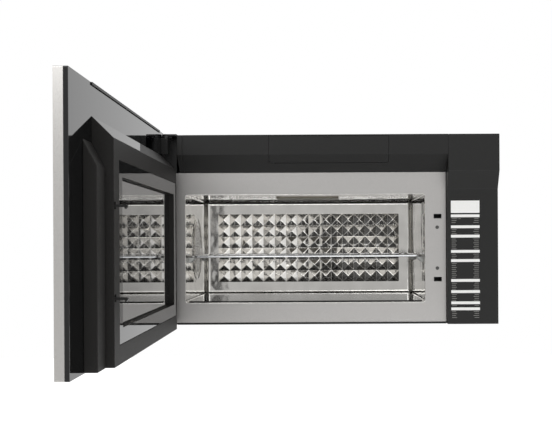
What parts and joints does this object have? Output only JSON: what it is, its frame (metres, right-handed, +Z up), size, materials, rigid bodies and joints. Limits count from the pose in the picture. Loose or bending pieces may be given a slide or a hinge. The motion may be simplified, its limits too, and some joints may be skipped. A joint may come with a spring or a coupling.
{
  "type": "over-the-range microwave oven",
  "caption": "Flush over-the-range microwave with full-width side-swing door, diamond-stamped cavity, rack, vent blower and filters.",
  "frame": {"origin": "on the wall plane, on the centreline, level with the bottom face of the body", "axes": "+X to the right seen from the front, +Y into the wall, +Z up"},
  "size_m": [0.7697, 1.1386, 0.4366],
  "materials": {
    "black_moulding": "satin black moulding",
    "gloss_panel": "glossy black",
    "choke_plastic": "dark grey-black moulding",
    "cabinet_paint": "black painted steel",
    "face_silver": "silver grey painted steel",
    "cavity_steel": "polished stainless",
    "door_steel": "brushed stainless",
    "zinc_steel": "zinc plated",
    "rack_chrome": "bright wire",
    "dark_glass": "dark tinted glass",
    "window_pane": "tinted pane",
    "floor_glass": "dark glass-ceramic",
    "lens_glass": "clear lens",
    "screen_metal": "black perforated sheet",
    "filter_mesh": "aluminium mesh",
    "carbon": "carbon filled frame",
    "mica": "mica sheet",
    "inner_steel": "plain steel",
    "inner_aluminium": "plain aluminium",
    "inner_plastic": "light grey plastic",
    "copper_wound": "varnished windings",
    "board_green": "circuit board",
    "grommet_rubber": "soft black"
  },
  "bodies": {
    "cabinet": {"top_cover": "cabinet_paint", "left_side": "cabinet_paint", "right_side": "cabinet_paint", "rear_panel": "zinc_steel", "base_pan": "cabinet_paint", "duct_plate": "zinc_steel", "front_lip": "black_moulding", "face_plate": "face_silver", "face_screws": "zinc_steel", "cavity_wrapper": "cavity_steel", "diamond_back_wall": "cavity_steel", "cavity_floor_glass": "floor_glass", "waveguide_cover": "mica", "convection_cover": "cavity_steel", "convection_housing": "inner_steel", "convection_heater": "inner_steel", "convection_motor": "inner_steel", "rack_supports": "inner_plastic", "top_vent_band": "black_moulding", "left_end_cap": "black_moulding", "charcoal_filter": "carbon", "right_column": "black_moulding", "hinge_brackets": "cabinet_paint", "hinge_pins": "inner_steel", "hinge_cap": "black_moulding", "interlock_bracket": "black_moulding", "interlock_switches": "black_moulding", "waveguide": "inner_steel", "stirrer_motor": "inner_steel", "magnetron": "inner_aluminium", "transformer": "copper_wound", "capacitor": "inner_aluminium", "cooling_fan_shroud": "inner_plastic", "cavity_lamp": "lens_glass", "blower_housing": "zinc_steel", "blower_motor": "inner_steel", "exhaust_frame": "black_moulding", "cord_grommet": "grommet_rubber", "lamp_lenses": "lens_glass", "cooktop_lamps": "lens_glass"},
    "door": {"door_skin": "door_steel", "door_outer_glass": "dark_glass", "door_liner": "gloss_panel", "choke_frame": "choke_plastic", "window_glass": "window_pane", "window_screen": "screen_metal", "control_housing": "choke_plastic", "control_board": "board_green", "hinge_blocks": "black_moulding", "door_top_strip": "black_moulding"},
    "latch": {"latch_bar": "black_moulding"},
    "flap": {"filter_flap": "black_moulding"},
    "filter_left": {"grease_filter_left": "filter_mesh"},
    "filter_right": {"grease_filter_right": "filter_mesh"},
    "rack": {"wire_rack": "rack_chrome"},
    "vent_blower": {"blower_wheels": "inner_plastic"},
    "oven_fan": {"convection_fan": "inner_aluminium"},
    "stirrer": {"mode_stirrer": "inner_aluminium"},
    "fan": {"cooling_fan": "inner_plastic"},
    "damper": {"damper_flap": "inner_aluminium"}
  },
  "joints": [
    {"name": "door_hinge", "type": "hinge", "parent": "cabinet", "child": "door", "pos_m": [-0.36, -0.399, 0], "axis": [0, 0, -1], "range_deg": [-89.15, 6]},
    {"name": "latch_slide", "type": "slide", "parent": "door", "child": "latch", "axis": [0, 0, 1], "range_m": [0, 0.0026], "stiffness_N_per_m": 150, "springref_m": -0.004},
    {"name": "filter_flap_hinge", "type": "hinge", "parent": "cabinet", "child": "flap", "pos_m": [0, -0.3854, 0.3648], "axis": [1, 0, 0], "range_deg": [0, 2]},
    {"name": "grease_filter_left_hinge", "type": "hinge", "parent": "cabinet", "child": "filter_left", "pos_m": [-0.19, -0.1075, 0], "axis": [1, 0, 0], "range_deg": [0, 60]},
    {"name": "grease_filter_right_hinge", "type": "hinge", "parent": "cabinet", "child": "filter_right", "pos_m": [0.19, -0.1075, 0], "axis": [1, 0, 0], "range_deg": [0, 60]},
    {"name": "rack_lift", "type": "slide", "parent": "cabinet", "child": "rack", "axis": [0, 0, 1], "range_m": [0, 0.022]},
    {"name": "vent_blower_spin", "type": "hinge", "parent": "cabinet", "child": "vent_blower", "pos_m": [0, -0.078, 0.345], "axis": [1, 0, 0], "continuous": true},
    {"name": "oven_fan_spin", "type": "hinge", "parent": "cabinet", "child": "oven_fan", "pos_m": [-0.34, -0.19, 0.17], "axis": [1, 0, 0], "continuous": true},
    {"name": "stirrer_spin", "type": "hinge", "parent": "cabinet", "child": "stirrer", "pos_m": [-0.05, -0.19, 0.31], "axis": [0, 0, 1], "continuous": true},
    {"name": "cooling_fan_spin", "type": "hinge", "parent": "cabinet", "child": "fan", "pos_m": [0.296, -0.04, 0.215], "axis": [0, 1, 0], "continuous": true},
    {"name": "damper_hinge", "type": "hinge", "parent": "cabinet", "child": "damper", "pos_m": [0, -0.0395, 0.401], "axis": [-1, 0, 0], "range_deg": [0, 70]}
  ]
}
